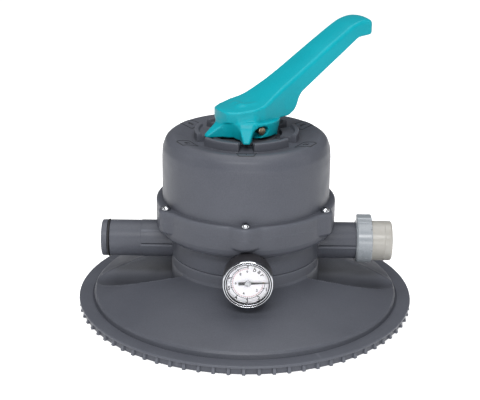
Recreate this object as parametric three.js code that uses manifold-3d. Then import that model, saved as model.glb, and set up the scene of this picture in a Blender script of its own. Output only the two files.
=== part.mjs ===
// Six-way multiport valve on a round tank cover, with sight glass, gauge and lever.
// Millimetres, +Z up. The origin is the centre of the cover's foot.
// The ports lie on X and Y, the gauge faces -Y, and the lever points between +X and +Y.

import * as THREE from 'three';
import { mergeVertices } from 'three/addons/utils/BufferGeometryUtils.js';
import Module from 'manifold-3d';

const wasm = await Module();
wasm.setup();

// ---- driving dimensions ----
const GAP = 0.3;                 // clearance between pieces that touch

const RIM_R = 175;               // tank cover
const RIM_WALL_R = 172.3;
const RIM_TOP = 9.5;
const TOOTH_COUNT = 76;
const TOOTH_TOP = 6.3;
const TOOTH_ROOT_R = 171.5;
const CONE_FOOT_R = 159;
const CONE_FOOT_Z = 14.8;
const TURRET_R = 77;
const TURRET_FOOT_Z = 42.9;
const TURRET_TOP_Z = 55.4;
const COVER_BORE_R = 72;
const BODY_SCREWS = 4;
const BODY_SCREW_CIRCLE = 65;
const SHELF_R = 58;
const SHELF_Z = 37.7;

const PORT_Z = 66;               // three ports, their axes at this height
const PORT_R = 19;
const PORT_BORE_R = 16;
const PORT_END = 150;
const PIPE_STUB_END = 121.9;       // the port under the union nut is shorter
const RECESS_R = 51;
const TROUGH_R = 55;

const NECK_R = 77.2;             // valve body
const NECK_FOOT_Z = TURRET_TOP_Z + GAP;
const SPIGOT_R = 71.5;
const SPIGOT_Z = SHELF_Z + GAP;
const CHAMBER_R = 66;
const CHAMBER_FLOOR_Z = 45;
const WEB_TOP_Z = 84;
const WEB_ANGLES = [45, 135, 225, 285, 315];
const WEB_WIDTH = 5;
const HUB_R = 14;
const ROTOR_CHAMBER_R = 71;
const COLLAR_R = 92.5;
const SPLIT_Z = 103.2;           // top of the body, under the lid flange

const LID_SCREWS = 6;
const LID_SCREW_CIRCLE = 91.5;
const LOBE_R = 12;
const LOBE_CIRCLE = 87;
const FLANGE_EDGE = 1.4;
const FLANGE_TOP_Z = 115.1;
const LID_R = 86;
const LID_FLOOR_Z = 178;
const RING_R = 53.5;
const RING_LIP_R = 49;
const RING_SLOPE_R = 47.9;
const RING_SHELF_R = 36;
const RING_TOP_Z = 187;
const RING_SHELF_Z = 183.4;
const NOTCH_HALF_ANGLE = 8.3;

const SHAFT_R = 13;              // rotor
const SHAFT_TOP_Z = 199;
const ROTOR_R = 69.5;
const ROTOR_Z = WEB_TOP_Z + GAP + 2.7 + GAP;
const ROTOR_HEIGHT = 9.7;
const SPRING_R = 18;
const SPRING_WIRE_R = 1.75;
const SPRING_TURNS = 6;

const LEVER_AZIMUTH = 30;        // handle
const PIN_Z = 192;
const PIN_R = 4;
const HEEL_OFFSET = 24.5;        // the cam heel bears this far from the pin axis
const HEEL_HEIGHT = 10.7;
const PRESS_ANGLE = 20;
const WASHER_TOP_Z = PIN_Z - HEEL_HEIGHT - GAP;

const GAUGE_X = 2.9;             // pressure gauge
const GAUGE_R = 24.4;
const GAUGE_FACE = 118;          // distances in front of the valve axis
const GAUGE_BACK = 94;
const PINION_TEETH = 10;
const SECTOR_TEETH = 50;
const GEAR_MODULE = 0.6;
const PINION_R = (GEAR_MODULE * PINION_TEETH) / 2;
const SECTOR_R = (GEAR_MODULE * SECTOR_TEETH) / 2;
const SECTOR_PIVOT = -(PINION_R + SECTOR_R);
const SECTOR_SWING = 54;

const COARSE = 20;              // segments round a small piece
const FINE = 36;                // segments round the cover, body and lid

// ---- solids ----
function solid(geometry) {
  const bare = geometry.clone();
  bare.deleteAttribute('normal');
  bare.deleteAttribute('uv');
  const merged = mergeVertices(bare, 1e-4);
  const index = merged.index.array;
  const place = merged.attributes.position.array;
  const faces = [];
  let volume = 0;
  for (let i = 0; i < index.length; i += 3) {
    const [a, b, c] = [index[i], index[i + 1], index[i + 2]];
    if (a === b || b === c || c === a) continue;
    faces.push(a, b, c);
    const p = [a, b, c].map((k) => new THREE.Vector3().fromArray(place, 3 * k));
    volume += p[0].dot(p[1].cross(p[2]));
  }
  if (volume < 0) faces.reverse();
  const triVerts = new Uint32Array(faces);
  const vertProperties = new Float32Array(place);
  return new wasm.Manifold(new wasm.Mesh({ numProp: 3, vertProperties, triVerts }));
}

function shape(points, holes = []) {
  const outline = new THREE.Shape(points.map(([x, y]) => new THREE.Vector2(x, y)));
  for (const hole of holes) {
    outline.holes.push(new THREE.Path(hole.map(([x, y]) => new THREE.Vector2(x, y))));
  }
  return outline;
}

// A profile of [radius, height] points turned about Z; it starts and ends on the axis or closes on itself.
function turned(profile, segments = FINE) {
  const closed = profile[0][0] > 0 || profile[profile.length - 1][0] > 0;
  const points = (closed ? [...profile, profile[0]] : profile).map(([r, z]) => new THREE.Vector2(r, z));
  return solid(new THREE.LatheGeometry(points, segments).rotateX(Math.PI / 2));
}

function column(radius, low, high, segments = COARSE) {
  return turned([[0, low], [radius, low], [radius, high], [0, high]], segments);
}

function ring(inner, outer, low, high, segments = FINE) {
  return turned([[inner, low], [outer, low], [outer, high], [inner, high]], segments);
}

function oRing(radius, minor, z, segments = COARSE, sides = 5) {
  const profile = [];
  for (let i = 0; i < sides; i += 1) {
    const angle = (2 * Math.PI * i) / sides;
    profile.push([radius + minor * Math.cos(angle), z + minor * Math.sin(angle)]);
  }
  return turned(profile, segments);
}

// A flat outline in X and Y raised from low to high.
function plate(points, low, high, holes = []) {
  const outline = shape(points, holes);
  const geometry = new THREE.ExtrudeGeometry(outline, { depth: high - low, bevelEnabled: false });
  return solid(geometry.translate(0, 0, low));
}

function block(x0, x1, y0, y1, z0, z1) {
  const geometry = new THREE.BoxGeometry(x1 - x0, y1 - y0, z1 - z0);
  return solid(geometry.translate((x0 + x1) / 2, (y0 + y1) / 2, (z0 + z1) / 2));
}

const spin = (piece, degrees) => piece.rotate([0, 0, degrees]);
// A piece built along +Z is laid along +X, or along -Y, at a height.
const alongX = (piece, z = PORT_Z) => piece.rotate([0, 90, 0]).translate([0, 0, z]);
const alongFront = (piece, x, z) => piece.rotate([90, 0, 0]).translate([x, 0, z]);

function circle(radius, count) {
  const points = [];
  for (let i = 0; i < count; i += 1) {
    const angle = (2 * Math.PI * i) / count;
    points.push([radius * Math.cos(angle), radius * Math.sin(angle)]);
  }
  return points;
}

function wedge(inner, outer, from, to, steps = 6) {
  const points = [];
  for (let i = 0; i <= steps; i += 1) {
    const angle = THREE.MathUtils.degToRad(from + ((to - from) * i) / steps);
    points.push([outer * Math.cos(angle), outer * Math.sin(angle)]);
  }
  for (let i = steps; i >= 0; i -= 1) {
    const angle = THREE.MathUtils.degToRad(from + ((to - from) * i) / steps);
    points.push([inner * Math.cos(angle), inner * Math.sin(angle)]);
  }
  return points;
}

function around(count, make, from = 0) {
  let all = null;
  for (let i = 0; i < count; i += 1) {
    const piece = spin(make(i), from + (360 * i) / count);
    all = all ? all.add(piece) : piece;
  }
  return all;
}

// ---- tank side ----
const PORT_AZIMUTHS = [0, 90, 180];

function tankCover() {
  const outer = turned([
    [0, 0], [RIM_WALL_R, 0], [RIM_WALL_R, 6.6], [RIM_R, 7.2], [RIM_R, RIM_TOP], [161, RIM_TOP],
    [160.6, 8.7], [159.6, 8.7], [CONE_FOOT_R, 13.4], [157.3, CONE_FOOT_Z + 0.5],
    [TURRET_R + 2.6, TURRET_FOOT_Z - 1], [TURRET_R, TURRET_FOOT_Z + 0.6],
    [TURRET_R, TURRET_TOP_Z], [0, TURRET_TOP_Z],
  ]);
  const toothPitch = (2 * Math.PI) / TOOTH_COUNT;
  const toothed = [];
  for (let i = 0; i < TOOTH_COUNT; i += 1) {
    const middle = i * toothPitch;
    const corners = [[TOOTH_ROOT_R, -0.14], [RIM_R, -0.1], [RIM_R, 0.1], [TOOTH_ROOT_R, 0.14]];
    for (const [radius, offset] of corners) {
      const angle = middle + offset * toothPitch;
      toothed.push([radius * Math.cos(angle), radius * Math.sin(angle)]);
    }
  }
  const teeth = plate(toothed, 0, TOOTH_TOP, [circle(170.4, TOOTH_COUNT)]);
  const turret = column(TURRET_R, -1, 120, FINE);
  const boreColumn = column(COVER_BORE_R, -1, 120, FINE);
  const recess = alongX(column(RECESS_R, 60, 170, 36)).subtract(turret);
  const trough = alongX(column(TROUGH_R, 60, 165, 36)).subtract(boreColumn);
  const saddle = alongX(column(PORT_R + 0.4, 60, 100));
  const everyPort = (piece) => {
    const copies = PORT_AZIMUTHS.map((azimuth) => spin(piece, azimuth));
    return copies[0].add(copies[1]).add(copies[2]);
  };
  const inside = turned([
    [0, -1], [150, -1], [150, 12.4], [92.7, 32], [SHELF_R, 32], [SHELF_R, SHELF_Z],
    [COVER_BORE_R, SHELF_Z], [COVER_BORE_R, 60], [0, 60],
  ]).subtract(everyPort(trough));
  const groove = ring(157.5, 168.5, -1, 4.5);
  const screwHole = column(3.3, 30, 40, 10).translate([BODY_SCREW_CIRCLE, 0, 0]);
  const screwHoles = around(BODY_SCREWS, () => screwHole, 45);
  return outer.add(teeth).subtract(everyPort(recess)).subtract(inside)
    .subtract(everyPort(saddle)).subtract(groove).subtract(screwHoles);
}

function bodyScrew() {
  return turned([
    [0, 28.4], [4.4, 28.4], [5, 29.2], [5, 31.7], [3, 31.7], [3, 46.5], [2.4, 47.4], [0, 47.4],
  ], 10).translate([BODY_SCREW_CIRCLE, 0, 0]);
}

// ---- valve body ----
function valveBody() {
  const outer = turned([
    [0, SPIGOT_Z], [SPIGOT_R, SPIGOT_Z], [SPIGOT_R, 41], [68.9, 41], [68.9, 44], [SPIGOT_R, 44],
    [SPIGOT_R, NECK_FOOT_Z], [NECK_R, NECK_FOOT_Z], [NECK_R, 76.6], [79.5, 78], [84.5, 79.6],
    [88.6, 82.2], [91.4, 86], [COLLAR_R, 90.5], [COLLAR_R, SPLIT_Z], [0, SPLIT_Z],
  ]);
  const lobes = around(LID_SCREWS, () => turned([
    [0, 90.7], [6, 90.9], [9, 92.6], [11, 96], [LOBE_R, 100.6], [LOBE_R, SPLIT_Z], [0, SPLIT_Z],
  ]).translate([LOBE_CIRCLE, 0, 0]), 30);
  const inside = turned([
    [0, CHAMBER_FLOOR_Z], [60, CHAMBER_FLOOR_Z], [60, 49.5], [CHAMBER_R, 49.5], [CHAMBER_R, WEB_TOP_Z],
    [ROTOR_CHAMBER_R, WEB_TOP_Z], [ROTOR_CHAMBER_R, 110], [0, 110],
  ]);
  const sealGroove = ring(74.2, 78.2, 100.3, 110);
  const tankPorts = [[229, 281], [289, 311]]
    .map(([from, to]) => plate(wedge(24, 52, from, to), 37, 50))
    .reduce((all, piece) => all.add(piece));
  let shell = outer.add(lobes);
  for (const azimuth of PORT_AZIMUTHS) {
    const length = azimuth === 0 ? PIPE_STUB_END : PORT_END;
    const pipe = azimuth === 0
      ? column(PORT_R, 62, length)
      : turned([
        [0, 62], [PORT_R, 62], [PORT_R, 141], [17.4, 141], [17.4, 144], [PORT_R, 144],
        [PORT_R, 148.6], [PORT_R - 0.8, length], [0, length],
      ], COARSE);
    shell = shell.add(spin(alongX(pipe), azimuth));
  }
  shell = shell.add(alongFront(column(10.5, 70, 77.4), GAUGE_X, PORT_Z));
  shell = shell.subtract(inside).subtract(sealGroove).subtract(tankPorts);
  for (const azimuth of PORT_AZIMUTHS) {
    shell = shell.subtract(spin(alongX(column(PORT_BORE_R, 50, 160)), azimuth));
  }
  shell = shell.subtract(alongFront(column(6.3, 60, 80, 16), GAUGE_X, PORT_Z));
  const web = block(HUB_R - 1, CHAMBER_R + 1, -WEB_WIDTH / 2, WEB_WIDTH / 2, 44, WEB_TOP_Z);
  const webs = WEB_ANGLES.map((angle) => spin(web, angle)).reduce((all, piece) => all.add(piece));
  const screwHole = column(3, 94, 110, 10).translate([LID_SCREW_CIRCLE, 0, 0]);
  const blindHole = column(3.3, 30, 48, 10).translate([BODY_SCREW_CIRCLE, 0, 0]);
  return shell.add(webs).add(column(HUB_R, 44, WEB_TOP_Z))
    .subtract(around(LID_SCREWS, () => screwHole, 30))
    .subtract(around(BODY_SCREWS, () => blindHole, 45));
}

function spiderGasket() {
  const low = WEB_TOP_Z + GAP;
  const high = low + 2.7;
  let gasket = ring(CHAMBER_R - 2, ROTOR_CHAMBER_R - 0.5, low, high).add(column(HUB_R + 3, low, high));
  for (const angle of WEB_ANGLES) {
    gasket = gasket.add(spin(block(HUB_R, CHAMBER_R, -2.2, 2.2, low, high), angle));
  }
  return gasket;
}

// ---- sight glass union, on +X ----
function unionNut() {
  const body = turned([
    [19.35, 115], [21.9, 115], [23.2, 116.6], [23.2, 131.5], [21.25, 131.5], [21.25, 118.4], [19.35, 118.4],
  ], COARSE);
  const lug = block(115.6, 131.3, -6.5, 6.5, 20, 27.5).subtract(column(21.3, 110, 140).rotate([0, 90, 0]));
  return body.rotate([0, 90, 0]).add(lug).translate([0, 0, PORT_Z]);
}

function sightGlass() {
  return alongX(turned([
    [PORT_BORE_R, 122.5], [17.8, 122.5], [17.8, 124.3], [20.2, 124.3], [20.2, 122.5], [20.9, 122.5],
    [20.9, 144.2], [21.1, 144.8], [20.7, 145.4], [20.7, 151.2], [19.4, 152.8], [PORT_BORE_R, 152.8],
  ], COARSE));
}

// ---- lid ----
function lid() {
  const outer = turned([
    [0, SPLIT_Z + GAP], [COLLAR_R, SPLIT_Z + GAP], [COLLAR_R, FLANGE_TOP_Z - FLANGE_EDGE],
    [COLLAR_R - FLANGE_EDGE, FLANGE_TOP_Z], [LID_R - 0.2, FLANGE_TOP_Z], [LID_R, 160],
    [85.5, 168], [84, 174], [82, 178], [80, 180], [77, 182], [75, 182.5], [70, 182],
    [RING_R, LID_FLOOR_Z], [RING_R, RING_TOP_Z], [RING_LIP_R, RING_TOP_Z],
    [RING_SLOPE_R, RING_SHELF_Z + 0.4], [RING_SHELF_R, RING_SHELF_Z], [RING_SHELF_R, LID_FLOOR_Z],
    [0, LID_FLOOR_Z],
  ]);
  const lobes = around(LID_SCREWS, () => turned([
    [0, SPLIT_Z + GAP], [LOBE_R, SPLIT_Z + GAP], [LOBE_R, FLANGE_TOP_Z - FLANGE_EDGE],
    [LOBE_R - FLANGE_EDGE, FLANGE_TOP_Z], [0, FLANGE_TOP_Z],
  ]).translate([LOBE_CIRCLE, 0, 0]), 30);
  const inside = turned([
    [0, 102], [81.2, 102], [81.2, 160], [79.4, 170], [74, 176.4], [70.6, 177.4], [56, 173.8],
    [23, 172.8], [20.5, 168], [0, 168],
  ]);
  const bore = turned([
    [0, 160], [SHAFT_R + GAP, 160], [SHAFT_R + GAP, 169.4], [15.7, 169.4], [15.7, 171.8],
    [SHAFT_R + GAP, 171.8], [SHAFT_R + GAP, 174], [15.7, 174], [15.7, 176.4], [SHAFT_R + GAP, 176.4],
    [SHAFT_R + GAP, 190], [0, 190],
  ], COARSE);
  const notches = around(LID_SCREWS, () => plate(
    wedge(RING_SHELF_R - 2, RING_R + 1, -NOTCH_HALF_ANGLE, NOTCH_HALF_ANGLE, 3), LID_FLOOR_Z, RING_TOP_Z + 1,
  ), 30);
  const holes = around(LID_SCREWS, () => column(3.3, 100, 120, 10).translate([LID_SCREW_CIRCLE, 0, 0]), 30);
  return outer.add(lobes).subtract(inside).subtract(bore).subtract(notches).subtract(holes);
}

function lidScrew() {
  const seat = FLANGE_TOP_Z + GAP;
  return turned([
    [0, 95], [2.2, 95], [2.7, 96], [2.7, seat], [4.5, seat], [4.5, seat + 1], [3.6, seat + 2.4],
    [1.8, seat + 3], [0, seat + 3],
  ], 10).translate([LID_SCREW_CIRCLE, 0, 0]);
}

// ---- rotor and spring ----
function rotor() {
  const top = ROTOR_Z + ROTOR_HEIGHT;
  const disc = turned([
    [0, ROTOR_Z], [ROTOR_R, ROTOR_Z], [ROTOR_R, top - 2], [ROTOR_R - 2, top], [SHAFT_R, top],
    [SHAFT_R, SHAFT_TOP_Z - 1.5], [SHAFT_R - 1.5, SHAFT_TOP_Z], [0, SHAFT_TOP_Z],
  ], 36);
  const window = plate(wedge(22, 58, -24, 24), ROTOR_Z - 1, top + 1);
  const crossover = plate(wedge(22, 58, 70, 290, 12), ROTOR_Z - 1, ROTOR_Z + 5.7);
  const pinBore = column(PIN_R + GAP, -30, 30, 16).rotate([90, 0, 0]);
  const pinHole = spin(pinBore, LEVER_AZIMUTH).translate([0, 0, PIN_Z]);
  return disc.subtract(window).subtract(crossover).subtract(pinHole);
}

class Helix extends THREE.Curve {
  constructor(radius, low, high, turns) {
    super();
    this.radius = radius;
    this.low = low;
    this.high = high;
    this.turns = turns;
  }

  getPoint(t, target = new THREE.Vector3()) {
    const angle = 2 * Math.PI * this.turns * t;
    const z = this.low + (this.high - this.low) * t;
    return target.set(this.radius * Math.cos(angle), this.radius * Math.sin(angle), z);
  }
}

function rotorSpring(low, high) {
  const path = new Helix(SPRING_R, low + SPRING_WIRE_R, high - SPRING_WIRE_R, SPRING_TURNS);
  const wire = shape(circle(SPRING_WIRE_R, 5));
  const options = { steps: 9 * SPRING_TURNS, bevelEnabled: false, extrudePath: path };
  return solid(new THREE.ExtrudeGeometry(wire, options));
}

// ---- handle, built with the lever along +X and turned to its azimuth ----
const LEVER_TOP = [
  [-36, 211.6], [-15, 213.4], [0, 215.6], [8, 218], [26, 229], [44, 240.3], [82, 265.7], [105, 280.5],
  [116, 287], [125, 289.8], [134, 290.6], [140, 289],
];
const LEVER_UNDERSIDE = [
  [140, 274.4], [137, 273.2], [122.4, 271.8], [53.5, 223], [49.6, 217.4], [47.8, 209.8], [44.5, 205],
  [38, 200.5],
];
const LEVER_HALF_PLAN = [
  [-32.5, 9], [-30, 14.5], [-21, 21], [-6, 26], [0, 26], [8, 23], [20, 20], [32, 18], [50, 17], [82, 16],
  [105, 15.5], [134, 14], [138.5, 12.6], [140, 9.5],
];

function mirrored(half, inset = 0) {
  const near = half.map(([x, y]) => [x, y - inset]);
  return [...near.map(([x, y]) => [x, -y]), ...near.reverse()];
}

function sideSolid(points, halfWidth) {
  return plate(points, -halfWidth, halfWidth).rotate([90, 0, 0]);
}

function heelCut() {
  const points = [[HEEL_OFFSET - 60, -40], [HEEL_OFFSET - 60, -HEEL_HEIGHT], [HEEL_OFFSET, -HEEL_HEIGHT]];
  const steps = 5;
  for (let i = 1; i <= steps; i += 1) {
    const angle = THREE.MathUtils.degToRad((PRESS_ANGLE * i) / steps);
    const height = HEEL_HEIGHT + HEEL_OFFSET * angle;
    points.push([
      HEEL_OFFSET * Math.cos(angle) + height * Math.sin(angle),
      HEEL_OFFSET * Math.sin(angle) - height * Math.cos(angle),
    ]);
  }
  const [x, z] = points[points.length - 1];
  const slope = Math.tan(THREE.MathUtils.degToRad(PRESS_ANGLE));
  points.push([x + 40, z + 40 * slope], [x + 40, -40]);
  return sideSolid(points.map(([u, v]) => [u, v + PIN_Z]), 60);
}

function handle() {
  const beam = sideSolid([...LEVER_TOP, ...LEVER_UNDERSIDE, [-36, 199.5]], 40)
    .intersect(plate(mirrored(LEVER_HALF_PLAN), 190, 300));
  const skirt = turned([[0, 184.4], [29.4, 184.4], [32.4, 200.4], [0, 200.4]], 36).translate([2, 0, 0]);
  const heel = block(15, 38, -17, 17, 181, 192).intersect(column(29.4, 180, 200, 36).translate([2, 0, 0]));
  const prong = sideSolid([
    [-20, 198], [-33, 197.5], [-40, 192], [-45, 187.5], [-47.4, 185.4], [-47.4, 184.2], [-42.5, 184.2],
    [-36, 186.5], [-26, 190], [-20, 190],
  ], 5);
  const shaftSlot = block(-17.6, 18, -SHAFT_R - 0.6, SHAFT_R + 0.6, 175, 199.5)
    .add(column(15.4, -SHAFT_R - 0.6, SHAFT_R + 0.6).rotate([90, 0, 0]).translate([0, 0, PIN_Z]));
  const pinHole = column(PIN_R + GAP, -60, 60, 16).rotate([90, 0, 0]).translate([0, 0, PIN_Z]);
  const window = block(-16, 7.5, 24, 45, 180, 193).add(column(8, 24, 45, 16).rotate([-90, 0, 0])
    .translate([-0.5, 0, PIN_Z]));
  const channel = sideSolid([
    [56, 210], [56, 245.4], [82, 261.8], [104, 276], [115, 282.4], [124, 285.2], [132, 285.8], [132, 260],
  ], 40).intersect(plate(mirrored(LEVER_HALF_PLAN.filter(([x]) => x >= 50 && x <= 134), 3.2), 190, 300));
  let part = beam.add(skirt).add(heel);
  for (const angle of [0, 60]) part = part.add(spin(prong, angle));
  return part.subtract(heelCut()).subtract(shaftSlot).subtract(pinHole)
    .subtract(window).subtract(window.mirror([0, 1, 0])).subtract(channel);
}

// ---- gauge ----
// Built along +Z and laid towards -Y, so that z here is the distance in front of the valve axis.
const toGauge = (piece) => alongFront(piece, GAUGE_X, PORT_Z);

function gaugeCase() {
  return toGauge(turned([
    [6.5, GAUGE_BACK], [23.2, GAUGE_BACK], [24, GAUGE_BACK + 1], [24, GAUGE_FACE - 4.9],
    [22.4, GAUGE_FACE - 4.9], [22.4, GAUGE_BACK + 2], [6.5, GAUGE_BACK + 2],
  ], COARSE));
}

function gaugeBezel() {
  return toGauge(turned([
    [21.4, GAUGE_FACE - 6.4], [22.1, GAUGE_FACE - 6.4], [22.1, GAUGE_FACE - 4.6],
    [GAUGE_R, GAUGE_FACE - 4.6], [GAUGE_R, GAUGE_FACE - 1.2], [23.6, GAUGE_FACE], [21.9, GAUGE_FACE],
    [20.6, GAUGE_FACE - 1.2], [21.4, GAUGE_FACE - 1.4],
  ], COARSE));
}

function gaugeSocket() {
  const stem = turned([
    [2, 62], [5.6, 62], [6, 63], [6, 79.3], [8.1, 79.3], [8.1, 86], [6, 86], [6, 96.4], [7.4, 96.4],
    [7.4, 98], [2, 98],
  ], 12);
  const foot = block(-3.5, 3.5, -18.4, -6, 96.4, 98).add(block(-3.5, 3.5, -18.4, -14.6, 96.4, 103));
  return toGauge(stem.add(foot));
}

function bourdonTube() {
  const start = THREE.MathUtils.degToRad(-90 + 13);
  const sweep = THREE.MathUtils.degToRad(235);
  class Loop extends THREE.Curve {
    getPoint(t, target = new THREE.Vector3()) {
      const angle = start + sweep * t;
      return target.set(17 * Math.cos(angle), 17 * Math.sin(angle), 100.6);
    }
  }
  const oval = circle(1, 6).map(([x, y]) => [x * 2.1, y * 1.1]);
  return toGauge(solid(new THREE.ExtrudeGeometry(shape(oval), {
    steps: 18, bevelEnabled: false, extrudePath: new Loop(),
  })));
}

// Teeth of a spur gear from one angle to another; a tooth stands at angle phase.
function toothOutline(count, phase, from, to) {
  const pitch = 360 / count;
  const middle = (GEAR_MODULE * count) / 2;
  const points = [];
  const first = Math.ceil((from - phase) / pitch);
  const last = Math.floor((to - phase) / pitch);
  for (let i = first; i <= last; i += 1) {
    for (const [rise, offset] of [[-0.75, -0.3], [0.55, -0.12], [0.55, 0.12], [-0.75, 0.3]]) {
      const angle = THREE.MathUtils.degToRad(phase + (i + offset) * pitch);
      const radius = middle + rise;
      points.push([radius * Math.cos(angle), radius * Math.sin(angle)]);
    }
  }
  return points;
}

function pinionSpindle() {
  const pinion = plate(toothOutline(PINION_TEETH, 90, 90, 90 + 359), 106.1, 107.3);
  return toGauge(column(1, 103.6, 114.6, 12).add(pinion));
}

// The sector's teeth reach clockwise from the pinion, far enough for its whole swing.
function sectorGear() {
  const halfPitch = 180 / SECTOR_TEETH;
  const teeth = toothOutline(SECTOR_TEETH, 90 + halfPitch, 90 - SECTOR_SWING - 8, 90 + 9);
  const blade = plate([...teeth, [0, 0]], 106.2, 107.2);
  const boss = column(2.6, 105.6, 107.8, 16);
  const hole = column(1.3, 100, 110, 12);
  return toGauge(blade.add(boss).subtract(hole).translate([0, SECTOR_PIVOT, 0]));
}

function gaugeMovement() {
  const outline = [[-6, 6], [-6, -20.4], [6, -20.4], [6, 6]];
  const holes = [circle(1.3, 12), circle(1.3, 12).map(([x, y]) => [x, y + SECTOR_PIVOT])];
  let frame = plate(outline, 104, 105, [holes[0]]).add(plate(outline, 108.4, 109.4, [holes[0]]));
  frame = frame.add(column(1, 104, 109.4, 12).translate([0, SECTOR_PIVOT, 0]));
  for (const [x, y] of [[-5, 5], [5, 5]]) frame = frame.add(column(0.8, 98.3, 111, 8).translate([x, y, 0]));
  return toGauge(frame);
}

function gaugeNeedle() {
  const pointer = [[-8.6, -0.9], [-8.6, 0.9], [0, 0.8], [19, 0.25], [19, -0.25], [0, -0.8]];
  const blade = plate(pointer, 113.5, 114.1);
  const hub = ring(1.15, 3.1, 113.1, 114.9, 20);
  return toGauge(blade.subtract(column(2.9, 113, 116, 20)).add(hub));
}

// ---- assembly ----
const finishes = {
  greyPlastic: { color: 0x5f636c, roughness: 0.42, metalness: 0 },
  handlePlastic: { color: 0x02a2b4, roughness: 0.4, metalness: 0 },
  rotorPlastic: { color: 0x2a2c30, roughness: 0.5, metalness: 0 },
  rubber: { color: 0x17181a, roughness: 0.8, metalness: 0 },
  chrome: { color: 0xd5d8dc, roughness: 0.15, metalness: 1 },
  steel: { color: 0xa7a9ab, roughness: 0.35, metalness: 1 },
  brass: { color: 0xb5965a, roughness: 0.35, metalness: 1 },
  nutPlastic: { color: 0xa4a8ac, roughness: 0.35, metalness: 0 },
  smokedGlass: { color: 0xb9b7ae, roughness: 0.2, metalness: 0 },
  clearGlass: { color: 0xf2f4f5, roughness: 0.05, metalness: 0 },
  blackPaint: { color: 0x1b1a1d, roughness: 0.45, metalness: 0 },
  dialWhite: { color: 0xf1eff2, roughness: 0.6, metalness: 0 },
};

const valve = new THREE.Group();

function add(name, finish, piece) {
  const mesh = piece.getMesh();
  const geometry = new THREE.BufferGeometry();
  geometry.setAttribute('position', new THREE.BufferAttribute(new Float32Array(mesh.vertProperties), 3));
  geometry.setIndex(new THREE.BufferAttribute(new Uint32Array(mesh.triVerts), 1));
  geometry.computeVertexNormals();
  const node = new THREE.Mesh(geometry, new THREE.MeshStandardMaterial(finishes[finish]));
  node.name = name;
  valve.add(node);
}

add('tank_cover', 'greyPlastic', tankCover());
add('tank_gasket', 'rubber', ring(158, 168, 0.8, 4.2));
add('body_seal', 'rubber', oRing(70.2, 1.2, 42.5, FINE, 5));
for (let i = 0; i < BODY_SCREWS; i += 1) {
  add(`body_screw_${i + 1}`, 'steel', spin(bodyScrew(), 45 + (360 / BODY_SCREWS) * i));
}

add('valve_body', 'greyPlastic', valveBody());
add('spider_gasket', 'rubber', spiderGasket());
add('left_port_o_ring', 'rubber', spin(alongX(oRing(18.75, 1.05, 142.5)), 180));
add('back_port_o_ring', 'rubber', spin(alongX(oRing(18.75, 1.05, 142.5)), 90));
add('union_collar', 'greyPlastic', alongX(ring(PORT_R + GAP, 20.9, 118.7, PIPE_STUB_END, COARSE)));
add('sight_glass_seal', 'rubber', alongX(oRing(19, 0.8, 123.2)));
add('sight_glass', 'smokedGlass', sightGlass());
add('union_nut', 'nutPlastic', unionNut());

add('lid', 'greyPlastic', lid());
add('lid_seal', 'rubber', oRing(76.2, 1.3, 101.8, FINE, 5));
for (let i = 0; i < LID_SCREWS; i += 1) add(`lid_screw_${i + 1}`, 'chrome', spin(lidScrew(), -90 + 60 * i));

const rotorTop = ROTOR_Z + ROTOR_HEIGHT;
const lowerWasherTop = rotorTop + GAP + 1.5;
add('rotor', 'rotorPlastic', rotor());
add('lower_spring_washer', 'steel', ring(SHAFT_R + 1, 24, rotorTop + GAP, lowerWasherTop, COARSE));
add('rotor_spring', 'steel', rotorSpring(lowerWasherTop + GAP, 165.4));
add('upper_spring_washer', 'steel', ring(SHAFT_R + 0.6, 24, 165.7, 167.7, COARSE));
add('shaft_seal_lower', 'rubber', oRing(14.55, 0.85, 170.6));
add('shaft_seal_upper', 'rubber', oRing(14.55, 0.85, 175.2));
add('thrust_washer', 'rotorPlastic', ring(SHAFT_R + 1, 30, LID_FLOOR_Z + GAP, WASHER_TOP_Z, COARSE));
const pin = column(PIN_R, -31, 31, 20).rotate([90, 0, 0]).translate([0, 0, PIN_Z]);
add('handle_pin', 'brass', spin(pin, LEVER_AZIMUTH));
add('handle', 'handlePlastic', spin(handle(), LEVER_AZIMUTH));

add('gauge_seal', 'rubber', toGauge(ring(6.4, 9, 77.7, 79, 12)));
add('gauge_socket', 'brass', gaugeSocket());
add('gauge_case', 'blackPaint', gaugeCase());
add('bourdon_tube', 'brass', bourdonTube());
add('gauge_movement', 'brass', gaugeMovement());
add('sector_gear', 'brass', sectorGear());
add('pinion_spindle', 'steel', pinionSpindle());
add('gauge_dial', 'dialWhite', toGauge(ring(1.8, 21.1, 111.3, 112, COARSE)));
add('gauge_needle', 'blackPaint', gaugeNeedle());
add('gauge_lens', 'clearGlass', toGauge(column(20.9, 115.4, 116.3)));
add('gauge_bezel', 'chrome', gaugeBezel());

export default valve;
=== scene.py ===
import math

import bmesh
import bpy
import numpy as np
from mathutils import Matrix, Vector


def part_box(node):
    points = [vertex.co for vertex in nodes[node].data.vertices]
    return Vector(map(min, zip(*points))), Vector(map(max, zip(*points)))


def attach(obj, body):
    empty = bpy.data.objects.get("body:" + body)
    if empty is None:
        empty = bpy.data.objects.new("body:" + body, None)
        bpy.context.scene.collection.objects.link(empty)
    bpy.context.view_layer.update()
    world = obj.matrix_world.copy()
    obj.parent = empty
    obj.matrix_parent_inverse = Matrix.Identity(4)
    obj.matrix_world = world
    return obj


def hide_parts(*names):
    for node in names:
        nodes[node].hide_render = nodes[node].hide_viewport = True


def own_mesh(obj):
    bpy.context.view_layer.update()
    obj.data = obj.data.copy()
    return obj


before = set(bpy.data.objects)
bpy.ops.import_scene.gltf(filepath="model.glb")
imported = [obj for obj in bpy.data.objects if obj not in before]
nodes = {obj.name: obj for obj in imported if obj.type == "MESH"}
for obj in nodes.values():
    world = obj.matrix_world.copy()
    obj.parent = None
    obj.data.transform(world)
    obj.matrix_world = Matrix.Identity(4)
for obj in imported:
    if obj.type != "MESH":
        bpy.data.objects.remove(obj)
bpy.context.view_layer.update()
MM = 0.001                # a millimetre, in metres

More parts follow.
